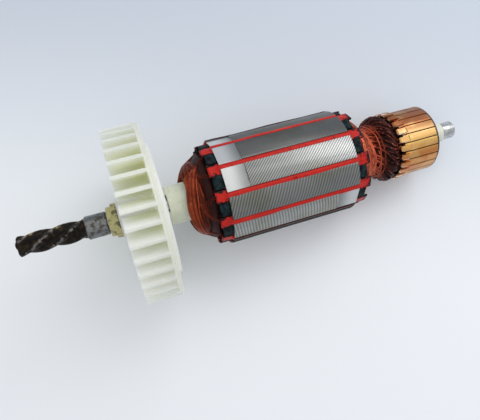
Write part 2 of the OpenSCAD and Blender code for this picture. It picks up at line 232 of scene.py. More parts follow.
def dress(name, material, width=0.0, segments=2):
    """Gives a carried-over solid its material and rounds its sharp edges. Width is in mm."""
    solid = frame["nodes"][name]
    solid.data.materials.clear()
    solid.data.materials.append(material)
    if not width:
        return
    weld = solid.modifiers.new("weld", "WELD")
    weld.merge_threshold = 0.00001
    bevel = solid.modifiers.new("rounded edges", "BEVEL")
    bevel.width = width * MM
    bevel.segments = segments
    bevel.limit_method = "ANGLE"
    bevel.angle_limit = math.radians(35)
    bevel.use_clamp_overlap = True
    bevel.harden_normals = True


def turned(profile, sides):
    """Points of a solid turned about the shaft from (along, radius) pairs, ring by ring."""
    return [polar(along, radius, 360 * k / sides) for along, radius in profile for k in range(sides)]


def skin(rings, sides, start=0, flip=False):
    """Faces over a row of rings of points, closed at both ends. Flip turns them the other way."""
    faces = []
    last = start + (rings - 1) * sides
    for low in range(start, last, sides):
        for k in range(sides):
            right = (k + 1) % sides
            faces.append((low + k, low + sides + k, low + sides + right, low + right))
    faces.append(tuple(range(start, start + sides)))
    faces.append(tuple(reversed(range(last, last + sides))))
    if flip:
        faces = [(face[0], *reversed(face[1:])) for face in faces]
    return faces


def curve_through(points, steps):
    """Smooth path through points, with steps from each one to the next."""
    ends = [2 * points[0] - points[1], *points, 2 * points[-1] - points[-2]]
    path = []
    for a, b, c, d in zip(ends, ends[1:], ends[2:], ends[3:]):
        for k in range(steps):
            t = k / steps
            path.append(0.5 * (2 * b + (c - a) * t + (2 * a - 5 * b + 4 * c - d) * t * t
                               + (3 * b - a - 3 * c + d) * t * t * t))
    path.append(points[-1].copy())
    return path


def between(value, stops):
    """Straight-line interpolation in (place, value) stops."""
    if value <= stops[0][0]:
        return stops[0][1]
    for (a, va), (b, vb) in zip(stops, stops[1:]):
        if value <= b:
            return va + (vb - va) * (value - a) / (b - a)
    return stops[-1][1]


class Bundle:
    """Collects wires into one mesh."""

    def __init__(self, wire_r, sides=7):
        self.wire_r, self.sides = wire_r, sides
        self.points, self.faces, self.tints = [], [], []

    def add(self, path, tint):
        """Adds a wire along a path. The tint, from 0 to 1, sets how light its enamel is, and for some wires
        it carries painted shade and painted highlights.
        """
        self.faces += skin(len(path), self.sides, len(self.points), flip=True)
        self.tints += [tint] * (len(path) * self.sides)
        across = (path[1] - path[0]).normalized().orthogonal().normalized()
        for before, here, after in zip([path[0], *path], path, [*path[1:], path[-1]]):
            ahead = (after - before).normalized()
            across = (across - ahead * across.dot(ahead)).normalized()
            third = ahead.cross(across)
            for k in range(self.sides):
                a = math.tau * k / self.sides
                self.points.append(here + self.wire_r * (math.cos(a) * across + math.sin(a) * third))

    def add_turned(self, profile):
        """Adds a solid turned about the shaft, which the wires lie on."""
        self.faces += skin(len(profile), BED_SIDES, len(self.points))
        self.tints += [0.0] * (len(profile) * BED_SIDES)
        self.points += turned(profile, BED_SIDES)

    def make(self, name, material, replaced=()):
        add_piece(name, self.points, self.faces, material, replaced, self.tints)


# ---- material helpers

class Nodes:
    """Adds shader nodes to a tree."""

    def __init__(self, tree):
        self.tree = tree

    def link(self, value, socket):
        """Puts a node's output, a colour or a number on a socket."""
        if isinstance(value, bpy.types.NodeSocket):
            self.tree.links.new(value, socket)
        elif socket.type == "RGBA":
            socket.default_value = (*value, 1)
        else:
            socket.default_value = value

    def fill(self, node, **inputs):
        """Sets a node's inputs, which are named in small letters, such as base_color."""
        sockets = {socket.name.lower().replace(" ", "_"): socket for socket in reversed(list(node.inputs))}
        for name, value in inputs.items():
            self.link(value, sockets[name])

    def add(self, kind, **inputs):
        node = self.tree.nodes.new("ShaderNode" + kind)
        self.fill(node, **inputs)
        return node

    def math(self, operation, *values, clamp=False):
        node = self.add("Math")
        node.operation = operation
        node.use_clamp = clamp
        for value, socket in zip(values, node.inputs):
            self.link(value, socket)
        return node.outputs[0]

    def times(self, product, *values):
        """All the values multiplied."""
        for value in values:
            product = self.math("MULTIPLY", product, value)
        return product

    def scaled(self, value, by, plus):
        """A value multiplied by one number, plus another."""
        return self.math("MULTIPLY_ADD", value, by, plus)

    def size(self, value):
        """The value without its sign."""
        return self.math("ABSOLUTE", value)

    def without(self, value):
        """What is left of 1 without the value."""
        return self.math("SUBTRACT", 1.0, value)

    def most(self, a, b):
        """The greater of two values."""
        return self.math("MAXIMUM", a, b)

    def step(self, value, low, high):
        """0 at low and below, 1 at high and above; low may be the greater one."""
        node = self.add("MapRange", value=value, from_min=low, from_max=high)
        node.interpolation_type = "SMOOTHSTEP"
        return node.outputs["Result"]

    def mix(self, share, a, b, blend="MIX"):
        node = self.add("Mix")
        node.data_type = "RGBA"
        node.blend_type = blend
        for value, socket in zip((share, a, b), (node.inputs[0], node.inputs[6], node.inputs[7])):
            self.link(value, socket)
        return node.outputs[2]

    def over(self, base, color, *shares):
        """The base under a colour, which covers as much of it as the shares give when multiplied."""
        return self.mix(self.times(*shares), base, color)

    def shades(self, value, color, low, high):
        """A colour's darker shade where the value is 0, and its lighter one where it is 1."""
        dark, light = (tuple(min(1, share * c) for c in color) for share in (low, high))
        return self.mix(value, dark, light)

    def ramp(self, value, stops, interpolation="LINEAR"):
        """Colours from (place, colour) stops."""
        node = self.add("ValToRGB")
        node.color_ramp.interpolation = interpolation
        elements = node.color_ramp.elements
        for _ in stops[2:]:
            elements.new(0.5)
        for element, (position, color) in zip(elements, stops):
            element.position = position
            element.color = (*color, 1)
        self.link(value, node.inputs[0])
        return node.outputs[0]

    def bump(self, height, distance, **below):
        """Bump from a height of 0 to 1, distance in mm. The normal of a bump below may be given."""
        return self.add("Bump", height=height, distance=distance * MM, **below).outputs[0]


class Finish(Nodes):
    """Builds the shader of one material, node by node."""

    def __init__(self, name):
        self.material = bpy.data.materials.new(name)
        self.material.use_nodes = True
        super().__init__(self.material.node_tree)

    def shade(self, **inputs):
        """Sets the shader's inputs and gives the material."""
        self.fill(self.tree.nodes["Principled BSDF"], **inputs)
        return self.material


class ShaftFinish(Finish):
    """A material with coordinates turned to the shaft: place in mm, radius, and angle in turns."""

    def __init__(self, name, roll=0.0):
        super().__init__(name)
        matrix = Matrix.Rotation(math.radians(-roll), 4, "X") @ TO_SHAFT
        source = self.add("TexCoord").outputs["Object"]
        self.place = self.add("Mapping", vector=source, location=matrix.translation / MM,
                              rotation=matrix.to_euler(), scale=(1 / MM, 1 / MM, 1 / MM)).outputs[0]
        self.along, self.side, self.up = self.add("SeparateXYZ", vector=self.place).outputs
        squares = self.scaled(self.side, self.side, self.times(self.up, self.up))
        self.radius = self.math("SQRT", squares)
        self.turn = self.math("DIVIDE", self.math("ARCTAN2", self.up, self.side), math.tau)

    def unrolled(self, along_scale, arc_scale, radius=10.0):
        """Coordinates laid flat: place along the shaft, arc length at a radius, and radius."""
        arc = self.times(self.turn, math.tau * radius * arc_scale)
        return self.add("CombineXYZ", x=self.times(self.along, along_scale), y=arc, z=self.radius).outputs[0]

    def noise(self, scale, detail=3.0, roughness=0.55, vector=None):
        node = self.add("TexNoise", vector=vector or self.place, scale=scale, detail=detail,
                        roughness=roughness)
        return node.outputs["Fac"]

    def specks(self, scale, size):
        """Small scattered spots: 1 inside, 0 outside."""
        node = self.add("TexVoronoi", vector=self.place, scale=scale)
        return self.step(node.outputs["Distance"], size, size * 0.5)

    def grazing_shade(self, start, full, fading, gone):
        """Painted shade along the side of the core, and low on it between these angles, in turns, where the
        core and its wedges are seen at a grazing angle.
        """
        low = self.times(self.step(self.turn, start, full), self.step(self.turn, gone, fading))
        return self.most(self.step(self.size(self.turn), 0.030, 0.022), low)


# ---- materials

def pinion_steel():
    """Hardened steel under old gear grease: dark flutes, rubbed crests, and a painted golden highlight along
    the crests on one side.
    """
    m = ShaftFinish("pinion_steel")
    blotch = m.noise(0.55, 4, 0.6)
    grain = m.noise(3.0, 3, 0.6)
    crest = m.step(m.scaled(blotch, 1.3, m.radius), 4.95, 5.4)
    grease = m.ramp(blotch, [(0.30, (0.005, 0.004, 0.004)), (0.52, (0.012, 0.009, 0.007)),
                             (0.66, (0.038, 0.023, 0.010)), (0.80, (0.012, 0.009, 0.007))])
    rubbed = m.mix(grain, (0.08, 0.074, 0.068), (0.34, 0.32, 0.30))
    # painted highlight: a golden glint along the crests on one side of the pinion
    painted_glint = m.step(m.math("ADD", m.side, blotch), 2.9, 3.8)
    return m.shade(base_color=m.over(m.mix(crest, grease, rubbed), (0.52, 0.40, 0.17), painted_glint, 0.75, crest),
                   metallic=m.scaled(crest, 0.60, 0.10),
                   roughness=m.scaled(grain, 0.25, 0.30),
                   specular_ior_level=0.10,
                   normal=m.bump(m.scaled(blotch, 2.0, grain), 0.12))


def ground_steel():
    """Ground shaft steel with dark streaks round it and oily smears."""
    m = ShaftFinish("ground_steel")
    rings = m.noise(5.0, 3, 0.6, m.unrolled(1.6, 0.06))
    smear = m.noise(0.42, 4, 0.62, m.unrolled(1.0, 1.0, 5.0))
    near_pinion = m.step(m.along, SEAT_MIDDLE + 16, SEAT_MIDDLE + 8)
    dirt = m.times(m.step(smear, 0.46, 0.60), m.scaled(near_pinion, 0.60, 0.22))
    bright = m.mix(rings, (0.44, 0.45, 0.45), (0.74, 0.74, 0.74))
    bright = m.over(bright, (0.13, 0.135, 0.135), near_pinion, 0.85)
    return m.shade(base_color=m.over(bright, (0.045, 0.038, 0.026), dirt),
                   metallic=m.scaled(dirt, -0.5, 1.0),
                   roughness=m.scaled(rings, 0.22, 0.17),
                   normal=m.bump(rings, 0.02))


def greasy_spacer():
    """Dull yellow zinc-plated steel with grease and rust-brown blotches."""
    m = ShaftFinish("greasy_spacer")
    tone = m.noise(0.5)
    blotch = m.times(m.step(m.noise(0.26), 0.47, 0.60), 0.85)
    fleck = m.times(m.step(m.noise(1.2, 3, 0.6), 0.54, 0.68), 0.40)
    stain = m.most(blotch, fleck)
    base = m.mix(tone, (0.38, 0.30, 0.12), (0.70, 0.62, 0.32))
    base = m.over(base, (0.40, 0.44, 0.18), m.step(m.up, 2, 8), 0.5)
    return m.shade(base_color=m.over(base, (0.055, 0.036, 0.015), stain),
                   metallic=0.15,
                   roughness=m.scaled(stain, -0.2, 0.50),
                   normal=m.bump(m.math("ADD", tone, stain), 0.06))


def fan_nylon(color):
    """Natural nylon, a little see-through, with grime and painted light in the gaps, painted shade on the
    blade tips, and specks of dust.
    """
    m = ShaftFinish("fan_nylon")
    cloud = m.noise(0.09, 4)
    fine = m.noise(1.3, 3, 0.6)
    blades = m.step(m.along, FAN_REAR - 3.6, FAN_REAR - 5.5)
    # painted light and grime: a yellow tint deep between the blades, for light coming through the nylon, most
    # towards the disc and on one side of the fan
    gap_grime_and_light = m.times(m.step(m.radius, FAN_R - 0.6, FAN_R - 6), blades)
    near_disc = m.scaled(m.step(m.along, FAN_FRONT + 3, FAN_REAR - 4), 0.5, 0.35)
    gap_light_side = m.scaled(m.step(m.side, -22, 26), 0.50, 0.40)
    rim = m.times(m.step(m.radius, FAN_R - 1.0, FAN_R - 0.2), m.step(m.along, FAN_REAR - 5, FAN_REAR - 4))
    base = m.shades(cloud, color, 0.98, 1.10)
    base = m.over(base, (0.74, 0.75, 0.60), fine, 0.10)
    base = m.over(base, (0.95, 0.97, 0.52), gap_grime_and_light, gap_light_side, near_disc, m.scaled(cloud, 1.2, 0.4))
    # painted shade: the blade tips darker, to tone down their lit edges
    base = m.over(base, (0.66, 0.69, 0.56), m.step(m.radius, FAN_R - 0.9, FAN_R - 0.2), blades, 0.35)
    base = m.over(base, (0.55, 0.56, 0.34), m.step(m.noise(0.16, 3, 0.6), 0.60, 0.72), 0.10)
    base = m.over(base, (0.34, 0.35, 0.24), rim, 0.45)
    base = m.over(base, (0.16, 0.13, 0.07), m.specks(0.50, 0.10), m.step(m.noise(0.22, 2), 0.52, 0.60), 0.75)
    return m.shade(base_color=base,
                   roughness=m.scaled(fine, 0.22, 0.30),
                   subsurface_weight=1.0,
                   subsurface_radius=(1.0, 1.0, 0.75),
                   subsurface_scale=0.011,
                   normal=m.bump(m.math("ADD", fine, cloud), 0.10))


def white_insulation(color):
    """Pale moulded insulation round the shaft."""
    m = ShaftFinish("white_insulation")
    cloud = m.noise(0.25, 4, 0.6)
    dirt = m.step(m.noise(0.6, 4, 0.65), 0.56, 0.68)
    return m.shade(base_color=m.over(m.shades(cloud, color, 0.72, 0.95), (0.30, 0.30, 0.18), dirt, 0.30),
                   roughness=m.scaled(cloud, 0.2, 0.32),
                   subsurface_weight=0.3,
                   subsurface_radius=(0.9, 1.0, 0.7),
                   subsurface_scale=0.002,
                   normal=m.bump(cloud, 0.06))


def core_steel(color):
    """Turned lamination stack: slanting tool lines, grey film, milled flats, slots dark; each tooth's light
    and shade and the reflection on the flats are painted in.
    """
    m = ShaftFinish("core_steel", roll=FIRST_SLOT_ANGLE)
    tooth = m.math("FRACT", m.turn)

    def per_tooth(*values):
        """A value for each tooth, counted from the first slot; the last value holds for the rest."""
        return m.ramp(tooth, [(i / SLOTS, (value,) * 3) for i, value in enumerate(values)], "CONSTANT")

    slant = m.times(m.turn, math.tau * CORE_R, m.scaled(per_tooth(1, 1, 1, 0.54, 0.04), 1.2, -0.2))
    wander = m.scaled(m.noise(0.05, 2, 0.5), 1.2, slant)
    lines = m.math("SINE", m.times(m.math("ADD", m.along, wander), math.tau * TOOL_LINES))
    groove = m.step(lines, -0.64, 0.60)
    front_flat = m.times(m.math("LESS_THAN", m.along, CORE_FRONT + FLAT_LENGTH + 0.02), per_tooth(1, 1, 1, 0))
    rear_flat = m.times(m.math("GREATER_THAN", m.along, CORE_REAR - FLAT_LENGTH - 0.02),
                        per_tooth(0, 0, 0, 0, 1, 0))
    uncut = m.without(m.math("ADD", front_flat, rear_flat))
    outside = m.step(m.radius, CORE_R - 1.1, CORE_R - 0.85)
    # painted light and shade: how strongly the tool lines show on each tooth, set by how the light falls on
    # it
    painted_light_by_facing = per_tooth(0.20, 0.18, 0.82, 0.74, 0.62, 0.6)
    faint = m.math("MULTIPLY_ADD", m.noise(0.06, 2), 0.6, 0.65, clamp=True)
    fine = m.noise(2.4, 3, 0.7, m.unrolled(0.10, 1.2, CORE_R))
    sheets = m.noise(4.5, 2, 0.6, m.unrolled(1.3, 0.03, CORE_R))
    grey = m.shades(m.noise(0.07, 4, 0.6), color, 0.78, 1.14)
    grey = m.over(grey, (0.38, 0.38, 0.27), m.step(m.noise(0.055), 0.46, 0.62), uncut, 0.55)
    grey = m.over(grey, (0.20, 0.20, 0.19), fine, 0.25)
    # painted light and shade: each tooth's grey darkened by a factor of its own
    grey = m.mix(1.0, grey, per_tooth(0.38, 0.29, 0.80, 0.54, 0.80, 0.7), "MULTIPLY")
    # painted highlight on the third tooth towards the core's rear end
    grey = m.over(grey, (0.92, 0.92, 0.90), per_tooth(0, 0, 1, 0), m.step(m.along, -6, CORE_REAR + 4), 0.45)
    grey = m.over(grey, (0.05, 0.05, 0.048), m.without(groove), uncut, painted_light_by_facing, faint, 0.86)
    # painted reflection on the milled flats: light at the core's ends, fading to dark towards its middle
    reflection_fade = m.step(m.size(m.along), CORE_REAR - 2.5, CORE_REAR - FLAT_LENGTH)
    milled = m.over((0.75, 0.76, 0.76), (0.18, 0.19, 0.19), reflection_fade, 0.85)
    milled = m.over(milled, (0.50, 0.51, 0.50), fine, 0.3)
    # painted shade: the flats of two teeth darker
    milled = m.mix(1.0, milled, per_tooth(1, 1, 0.64, 1, 0.74), "MULTIPLY")
    base = m.over(milled, grey, uncut)
    base = m.over(base, (0.05, 0.045, 0.04), m.specks(0.34, 0.09), m.step(m.noise(0.11, 2), 0.55, 0.62), 0.8)
    # painted shade where the core is seen at a grazing angle: near the first slot, and low on the core
    grazing_shade = m.grazing_shade(0.405, 0.413, 0.455, 0.480)
    base = m.over(base, (0.02, 0.022, 0.022), grazing_shade, 0.85)
    shiny = m.times(outside, m.without(grazing_shade))
    return m.shade(base_color=m.over((0.04, 0.04, 0.04), base, outside),
                   metallic=m.times(shiny, 0.92),
                   specular_ior_level=m.times(shiny, 0.5),
                   roughness=m.scaled(sheets, 0.16, m.scaled(uncut, 0.10, 0.24)),
                   normal=m.bump(sheets, 0.03, normal=m.bump(m.times(groove, uncut), 0.05)))


def teal_insulator():
    """Dark blue-green moulded end laminations with varnish on them."""
    m = ShaftFinish("teal_insulator")
    cloud = m.noise(0.5, 4, 0.6)
    red = m.step(m.noise(0.45, 3, 0.6), 0.60, 0.70)
    base = m.mix(m.step(cloud, 0.35, 0.70), (0.002, 0.004, 0.005), (0.016, 0.036, 0.042))
    return m.shade(base_color=m.over(base, (0.10, 0.015, 0.010), red, 0.4),
                   roughness=m.scaled(cloud, 0.3, 0.45),
                   specular_ior_level=0.08,
                   normal=m.bump(cloud, 0.35))


def red_fibre(color):
    """Varnished vulcanised fibre: bright where it is clean, nearly black where the varnish pooled."""
    m = ShaftFinish("red_fibre", roll=FIRST_SLOT_ANGLE)
    cloud = m.noise(0.22, 4, 0.6)
    fine = m.noise(1.6, 4, 0.65)
    pooled = m.step(m.noise(0.5, 4, 0.65, m.unrolled(0.7, 1.6, WEDGE_R)), 0.54, 0.70)
    base = m.shades(cloud, color, 0.70, 1.25)
    base = m.over(base, (0.70, 0.08, 0.05), fine, 0.12)
    base = m.over(base, (0.08, 0.004, 0.005), pooled, 0.60)
    # place across the slot, from -0.5 to 0.5 of the pitch
    across = m.math("SUBTRACT", m.math("FRACT", m.scaled(m.turn, float(SLOTS), 0.5)), 0.5)
    from_middle = m.size(m.along)
    past_core = m.step(from_middle, CORE_REAR - 0.2, CORE_REAR + 0.6)
    ragged = m.scaled(m.noise(0.7, 3, 0.6), 0.5, -0.25)
    rim = m.step(m.math("ADD", m.size(across), ragged), 0.14, 0.21)
    tab_end = m.step(m.scaled(ragged, 8.0, from_middle), CORE_REAR + 4.2, CORE_REAR + 5.6)
    tab_edge = m.times(past_core, m.most(rim, tab_end))
    shaded = m.times(m.step(across, 0.060, 0.085), m.step(m.radius, WEDGE_R - 0.2, WEDGE_R), 0.85)
    # painted shade on the wedges seen at a grazing angle, fading past the core
    grazing_shade = m.times(m.grazing_shade(0.390, 0.395, 0.450, 0.460), m.math("SUBTRACT", 0.92, past_core))
    dark = m.most(m.most(tab_edge, shaded), grazing_shade)
    return m.shade(base_color=m.over(base, (0.012, 0.006, 0.006), dark),
                   roughness=m.scaled(fine, 0.25, 0.26),
                   specular_ior_level=0.12,
                   normal=m.bump(m.scaled(cloud, 2.0, fine), 0.10))


def wire_enamel(color):
    """Enamelled copper wire under dipping varnish. It goes dark towards the hooks. Painted shade darkens it
    where it dives into the slots, and painted highlights light some wires.
    """
    m = ShaftFinish("wire_enamel")
    source = m.add("Attribute")
    source.attribute_name = "tint"
    tint = source.outputs["Fac"]
    patch = m.noise(0.9, 3, 0.6)
    base = m.shades(tint, color, 0.14, 1.15)
    base = m.over(base, (0.10, 0.010, 0.007), m.step(m.noise(0.20, 4, 0.6), 0.42, 0.60), 0.55)
    orange = m.mix(m.step(tint, 0.10, 0.80), (0.12, 0.014, 0.009), (0.78, 0.17, 0.080))
    base = m.over(base, orange, m.step(m.along, 32, 34), 0.9)
    lit = m.times(m.step(tint, 0.62, 0.95), m.step(patch, 0.50, 0.62))
    dark = m.over(m.mix(tint, (0.008, 0.004, 0.004), (0.040, 0.010, 0.009)), (0.36, 0.075, 0.050), lit)
    base = m.over(base, dark, m.step(m.scaled(patch, 4.0, m.along), 46.0, 50.0), 0.94)
    # painted shade where the wires dive into the slots, close to the liners
    diving_shade = m.times(m.step(m.along, LINER_FRONT - 4.4, LINER_FRONT - 1.6), m.step(m.along, 1, -1))
    base = m.over(base, (0.030, 0.004, 0.004), diving_shade, 0.75)
    glint = m.times(m.step(patch, 0.58, 0.72), m.step(tint, 0.45, 0.9), 0.4, m.without(diving_shade))
    return m.shade(base_color=m.over(base, (0.85, 0.34, 0.13), glint),
                   metallic=0.45,
                   roughness=m.scaled(patch, 0.25, 0.26),
                   specular_ior_level=0.15,
                   normal=m.bump(patch, 0.05))


def wire_bed():
    """Dark varnish between and under the wires, nearly black as painted shade deep in the winding."""
    m = ShaftFinish("wire_bed")
    cloud = m.noise(0.4, 4, 0.6)
    return m.shade(base_color=m.mix(cloud, (0.010, 0.003, 0.003), (0.040, 0.006, 0.005)),
                   roughness=m.scaled(cloud, 0.3, 0.3),
                   specular_ior_level=0.12,
                   normal=m.bump(m.noise(1.5), 0.3))


def bar_copper(color):
    """Copper bars run in by brushes: fine rings round the track, brown and straw tints, and painted light and
    shade across the commutator.
    """
    m = ShaftFinish("bar_copper", roll=FIRST_BAR_ANGLE - BAR_PITCH / 2)
    rings = m.noise(4.0, 3, 0.6, m.unrolled(2.0, 0.02, TRACK_R))
    number = m.math("FLOOR", m.times(m.turn, float(BARS)))
    # a number from 0 to 1 for each bar, scattered by a steep sine
    scattered = m.math("FRACT", m.times(m.math("SINE", m.times(number, 12.9898)), 43758.5453))
    base = m.mix(scattered, tuple(0.86 * c for c in color), (0.88, 0.60, 0.28))
    # painted light and shade across the bars: bright near the middle, dark brown towards one side
    painted_light_by_facing = m.ramp(m.scaled(m.side, 0.5 / TRACK_R, 0.5),
                  [(0.0, (0.52, 0.26, 0.14)), (0.14, (0.62, 0.25, 0.10)), (0.30, (0.58, 0.19, 0.035)),
                   (0.50, (0.84, 0.52, 0.16)), (0.66, (0.62, 0.37, 0.165)), (0.80, (0.44, 0.12, 0.040)),
                   (1.0, (0.26, 0.07, 0.03))])
    base = m.over(base, painted_light_by_facing, 0.90)
    base = m.over(base, (1.0, 0.80, 0.34), m.step(m.noise(0.14), 0.46, 0.62), 0.25)
    base = m.over(base, (0.45, 0.20, 0.08), rings, 0.12)
    end = m.step(m.along, BAR_REAR - 0.6, BAR_REAR - 0.2)
    return m.shade(base_color=m.over(base, (0.10, 0.055, 0.05), end),
                   metallic=0.92,
                   roughness=m.scaled(rings, 0.16, 0.32),
                   normal=m.bump(rings, 0.025))


def hook_copper():
    """Hooks welded over the wires: pale, matt, a little scorched."""
    m = ShaftFinish("hook_copper")
    cloud = m.noise(0.9, 4, 0.65)
    scorch = m.step(m.noise(0.6), 0.56, 0.68)
    base = m.mix(cloud, (0.95, 0.77, 0.66), (1.0, 0.94, 0.88))
    # painted shade: browner on one side of the commutator, as on the bars
    base = m.over(base, (0.45, 0.21, 0.13), m.step(m.side, 4.0, 13.0), 0.5)
    return m.shade(base_color=m.over(base, (0.16, 0.06, 0.035), scorch, 0.6),
                   metallic=0.6,
                   roughness=m.scaled(cloud, 0.25, 0.30),
                   normal=m.bump(cloud, 0.10))


def hub_moulding():
    """Brown phenolic moulding between and behind the bars."""
    m = ShaftFinish("hub_moulding")
    cloud = m.noise(0.7, 4, 0.6)
    return m.shade(base_color=m.mix(cloud, (0.035, 0.016, 0.014), (0.11, 0.050, 0.040)),
                   roughness=m.scaled(cloud, 0.25, 0.42),
                   normal=m.bump(cloud, 0.08))


def table_top(shade, light):
    """Smooth pale table, lighter towards one corner, as painted light from the window."""
    m = Finish("table_top")
    x, y, _ = m.add("SeparateXYZ", vector=m.add("TexCoord").outputs["Object"]).outputs
    across = m.scaled(y, -1.0, m.times(x, -0.40))
    return m.shade(base_color=m.mix(m.step(across, -0.13, 0.05), shade, light),
                   roughness=0.5)


# ---- stage

def add_lamp(name, place, size, power):
    """Adds a square lamp that faces the armature."""
    lamp = bpy.data.lights.new(name, "AREA")
    lamp.shape = "SQUARE"
    lamp.size = size
    lamp.energy = power
    holder = add_object(name, lamp)
    holder.location = place
    holder.rotation_euler = (-Vector(place)).to_track_quat("-Z", "Y").to_euler()


class ARMATURE_OT_stage(bpy.types.Operator):
    """Builds the floor, the lamps and the camera"""
    bl_idname = "armature.stage"
    bl_label = "Stage"

    def execute(self, context):
        settings = context.scene.armature_stage
        half = 3.0
        floor_mesh = bpy.data.meshes.new("floor")
        corners = [(-half, -half, 0), (half, -half, 0), (half, half, 0), (-half, half, 0)]
        floor_mesh.from_pydata(corners, [], [(0, 1, 2, 3)])
        floor_mesh.materials.append(table_top(tuple(settings.floor_shade), tuple(settings.floor_light)))
        floor = add_object("floor", floor_mesh)
        camera_data = bpy.data.cameras.new("camera")
        camera_data.lens = settings.lens
        camera_data.clip_start = 0.01
        camera = add_object("camera", camera_data)
        camera.location = settings.camera_place
        camera.rotation_euler = settings.camera_turn
        context.scene.camera = camera
        add_lamp("window", (0.48, 0.48, 0.72), 0.6, settings.window_power)
        add_lamp("fill", (0.75, 0.25, 0.40), 0.35, settings.fill_power)
        world = context.scene.world or bpy.data.worlds.new("room")
        context.scene.world = world
        world.use_nodes = True
        room = Nodes(world.node_tree)
        height = room.add("SeparateXYZ", vector=room.add("TexCoord").outputs["Generated"]).outputs[2]
        shade = room.ramp(height, [(0.15, (0.50, 0.53, 0.58)), (0.85, (1.0, 1.0, 1.0))])
        room.fill(room.tree.nodes["Background"], color=shade, strength=settings.room_strength)
        context.scene.view_settings.view_transform = "Standard"
        return {"FINISHED"}


# ---- shaft

# Teeth, radius over them, depth of the flutes, length of one turn of a tooth, and angle of the first
PINION_TEETH = 4
PINION_TIP_R = 4.5
PINION_FLUTE = 1.5
PINION_LEAD = 43.0
PINION_PHASE = 86.0
PINION_END = SEAT_MIDDLE - SEAT_HALF - 0.4
# Radius of the shaft under the core, and where it steps down behind the commutator, and to what
BODY_R = 5.5
TAIL_FRONT = 74.4
TAIL_R = 4.2
# Grinding relief at the root of a bearing seat: its length and depth
RELIEF_L = 0.8
RELIEF_T = 0.3


class ARMATURE_OT_shaft(bpy.types.Operator):
    """Builds the shaft with its helical pinion"""
    bl_idname = "armature.shaft"
    bl_label = "Shaft"

    def execute(self, context):
        rng = random.Random(11)
        sides, rows = 128, 120
        length = PINION_END - SHAFT_FRONT
        points = []
        for j in range(rows + 1):
            place = length * j / rows
            for k in range(sides):
                angle = 360 * k / sides
                radius = self.tooth_radius(place, length, angle) + rng.uniform(-0.012, 0.012)
                points.append(polar(SHAFT_FRONT + place, radius, angle))
        profile = self.turned_profile()
        points += turned(profile, sides)
        faces = skin(rows + 1 + len(profile), sides)
        front_face = len(faces) - 2
        shaft = add_piece("shaft_steelwork", points, faces, pinion_steel(), ["shaft"])
        shaft.data.materials.append(ground_steel())
        for index, polygon in enumerate(shaft.data.polygons):
            polygon.material_index = 0 if index < rows * sides or index == front_face else 1
        shaft.data.set_sharp_from_angle(angle=math.radians(32))
        return {"FINISHED"}

    def tooth_radius(self, place, length, angle):
        """Radius of the pinion at a place from its nose and an angle."""
        turn = PINION_PHASE - 360 * place / PINION_LEAD
        lobe = (0.5 + 0.5 * math.cos(math.radians(PINION_TEETH * (angle - turn)))) ** 0.8
        nose = max(0, 1 - place) ** 2 * 0.95
        run_out = max(0, 1 - (length - place) / 3.5) ** 2 * 0.6
        return PINION_TIP_R - PINION_FLUTE * (1 - lobe) * (1 - run_out) - nose

    def turned_profile(self):
        """The round rest of the shaft, as (along, radius) pairs."""
        front_seat = SEAT_MIDDLE + SEAT_HALF
        rear_seat = END_SEAT_MIDDLE - END_SEAT_HALF
        return [(PINION_END, SEAT_R - 0.4), (PINION_END + 0.12, SEAT_R - 0.22), (PINION_END + 0.4, SEAT_R),
                (front_seat, SEAT_R), (front_seat + RELIEF_T, SEAT_R - RELIEF_T),
                (front_seat + RELIEF_L - 0.02, SEAT_R - RELIEF_T), (front_seat + RELIEF_L, BODY_R),
                (TAIL_FRONT, BODY_R), (TAIL_FRONT + 0.02, TAIL_R), (rear_seat - RELIEF_L, TAIL_R),
                (rear_seat - RELIEF_L + 0.02, END_SEAT_R - RELIEF_T),
                (rear_seat - RELIEF_T, END_SEAT_R - RELIEF_T), (rear_seat, END_SEAT_R),
                (SHAFT_REAR - 0.85, END_SEAT_R), (SHAFT_REAR - 0.70, END_SEAT_R - 0.08),
                (SHAFT_REAR - 0.06, END_SEAT_R - 0.72), (SHAFT_REAR, END_SEAT_R - 0.88),
                (SHAFT_REAR, 0.9), (SHAFT_REAR - 0.7, 0.2)]


# ---- windings

# Outline of the rear winding: the coils behind the core, the neck, and the bulge of leads
REAR_OUTLINE = [(33.4, 19.25), (35.4, 18.65), (37.8, 16.25), (40.8, 12.7), (43.8, 10.5), (45.9, 11.9),
                (48.5, 15.1), (50.7, 15.8), (52.7, 15.1), (53.5, 14.4), (55.9, 13.4)]
SLOT_FLOOR_R = 17.6


def away(angle, middle):
    """Angle from a middle, in degrees from -180 to 180."""
    return (angle - middle + 180) % 360 - 180


